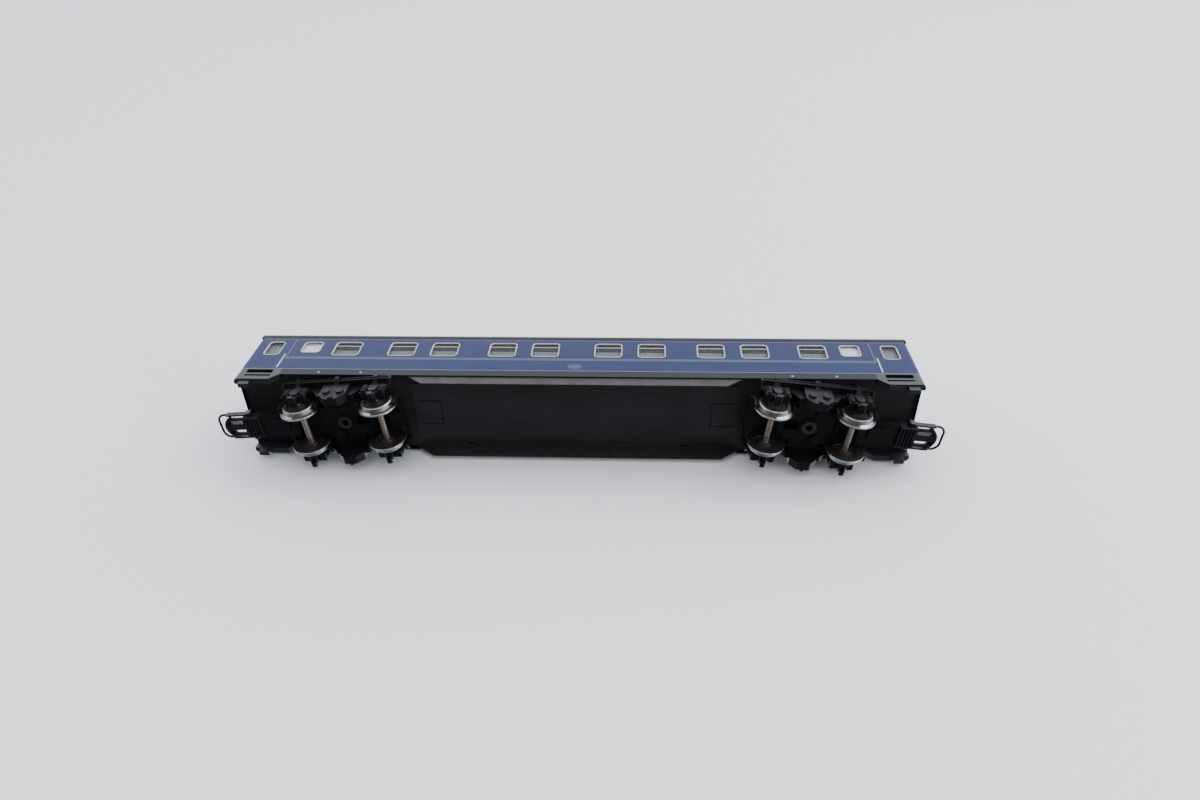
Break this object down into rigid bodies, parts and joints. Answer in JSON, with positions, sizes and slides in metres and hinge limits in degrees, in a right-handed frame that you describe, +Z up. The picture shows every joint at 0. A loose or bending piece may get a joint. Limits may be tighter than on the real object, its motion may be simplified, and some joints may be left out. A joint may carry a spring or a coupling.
{
  "type": "model passenger coach",
  "caption": "H0 scale tinplate sleeping coach with swivelling bogies, rolling wheelsets and hook couplers with lifting wire bows.",
  "frame": {"origin": "under the middle of the coach, in the plane that the wheel flanges stand on; the rail head is 1.3 mm above it", "axes": "+X along the coach towards its right end, -Y towards the near side, +Z up towards the roof"},
  "size_m": [0.2575, 0.0354, 0.0478],
  "materials": {
    "blue_side_sheet": "printed tinplate, deep blue, semi-gloss",
    "roof_grey": "pale grey, satin",
    "clear_glazing": "clear moulded strip",
    "frosted_pane": "frosted white",
    "fitting_grey": "grey moulding, matt",
    "floor_black_sheet": "black varnished sheet, satin",
    "bellows_black": "black, matt",
    "step_dark": "dark grey-blue, satin",
    "rivet_dark": "darkened steel",
    "bogie_black": "black moulding, satin",
    "coupler_black": "black moulding, satin",
    "coupler_steel": "bright stamped steel",
    "bow_wire": "blackened wire",
    "axle_steel": "steel with a rust tint",
    "tyre_metal": "bright turned metal",
    "wheel_centre_dark": "dark grey, satin",
    "contact_brass": "dull brass",
    "printed_cream": "cream printing ink"
  },
  "bodies": {
    "coach_body": {"body_shell": "blue_side_sheet", "roof": "roof_grey", "glazing_near": "clear_glazing", "glazing_far": "clear_glazing", "lavatory_panes": "frosted_pane", "interior_fitting": "fitting_grey", "floor_pan": "floor_black_sheet", "gangway_left": "bellows_black", "gangway_right": "bellows_black", "door_step_left_near": "step_dark", "door_step_left_far": "step_dark", "door_step_right_near": "step_dark", "door_step_right_far": "step_dark", "pivot_rivet_left": "rivet_dark", "pivot_rivet_right": "rivet_dark", "contact_leaf": "contact_brass"},
    "bogie_left": {"bogie_frame_left": "bogie_black", "bogie_side_left_near": "bogie_black", "bogie_side_left_far": "bogie_black", "coupler_hook_left": "coupler_black", "coupler_pin_left": "coupler_steel"},
    "bow_left": {"coupler_yoke_left": "coupler_steel", "coupler_bow_left": "bow_wire"},
    "wheelset_left_outer": {"axle_left_outer": "axle_steel", "tyre_left_outer_near": "tyre_metal", "tyre_left_outer_far": "tyre_metal", "wheel_centre_left_outer_near": "wheel_centre_dark", "wheel_centre_left_outer_far": "wheel_centre_dark"},
    "wheelset_left_inner": {"axle_left_inner": "axle_steel", "tyre_left_inner_near": "tyre_metal", "tyre_left_inner_far": "tyre_metal", "wheel_centre_left_inner_near": "wheel_centre_dark", "wheel_centre_left_inner_far": "wheel_centre_dark"},
    "bogie_right": {"bogie_frame_right": "bogie_black", "bogie_side_right_near": "bogie_black", "bogie_side_right_far": "bogie_black", "coupler_hook_right": "coupler_black", "coupler_pin_right": "coupler_steel"},
    "bow_right": {"coupler_yoke_right": "coupler_steel", "coupler_bow_right": "bow_wire"},
    "wheelset_right_outer": {"axle_right_outer": "axle_steel", "tyre_right_outer_near": "tyre_metal", "tyre_right_outer_far": "tyre_metal", "wheel_centre_right_outer_near": "wheel_centre_dark", "wheel_centre_right_outer_far": "wheel_centre_dark"},
    "wheelset_right_inner": {"axle_right_inner": "axle_steel", "tyre_right_inner_near": "tyre_metal", "tyre_right_inner_far": "tyre_metal", "wheel_centre_right_inner_near": "wheel_centre_dark", "wheel_centre_right_inner_far": "wheel_centre_dark"}
  },
  "joints": [
    {"name": "bogie_swivel_left", "type": "hinge", "parent": "coach_body", "child": "bogie_left", "pos_m": [-0.0815, 0, 0.012], "axis": [0, 0, 1], "range_deg": [-7.5, 16.5]},
    {"name": "bow_lift_left", "type": "hinge", "parent": "bogie_left", "child": "bow_left", "pos_m": [-0.11639, 0.00275, 0.0097], "axis": [0.0785, 0.9969, 0], "range_deg": [0, 30]},
    {"name": "wheel_spin_left_outer", "type": "hinge", "parent": "bogie_left", "child": "wheelset_left_outer", "pos_m": [-0.09546, 0.0011, 0.0068], "axis": [-0.0785, -0.9969, 0], "continuous": true},
    {"name": "wheel_spin_left_inner", "type": "hinge", "parent": "bogie_left", "child": "wheelset_left_inner", "pos_m": [-0.06754, -0.0011, 0.0068], "axis": [-0.0785, -0.9969, 0], "continuous": true},
    {"name": "bogie_swivel_right", "type": "hinge", "parent": "coach_body", "child": "bogie_right", "pos_m": [0.0815, 0, 0.012], "axis": [0, 0, 1], "range_deg": [-18.5, 5.5]},
    {"name": "bow_lift_right", "type": "hinge", "parent": "bogie_right", "child": "bow_right", "pos_m": [0.11628, 0.00396, 0.0097], "axis": [0.1132, -0.9936, 0], "range_deg": [0, 30]},
    {"name": "wheel_spin_right_outer", "type": "hinge", "parent": "bogie_right", "child": "wheelset_right_outer", "pos_m": [0.09541, 0.00159, 0.0068], "axis": [-0.1132, 0.9936, 0], "continuous": true},
    {"name": "wheel_spin_right_inner", "type": "hinge", "parent": "bogie_right", "child": "wheelset_right_inner", "pos_m": [0.06759, -0.00159, 0.0068], "axis": [-0.1132, 0.9936, 0], "continuous": true}
  ]
}
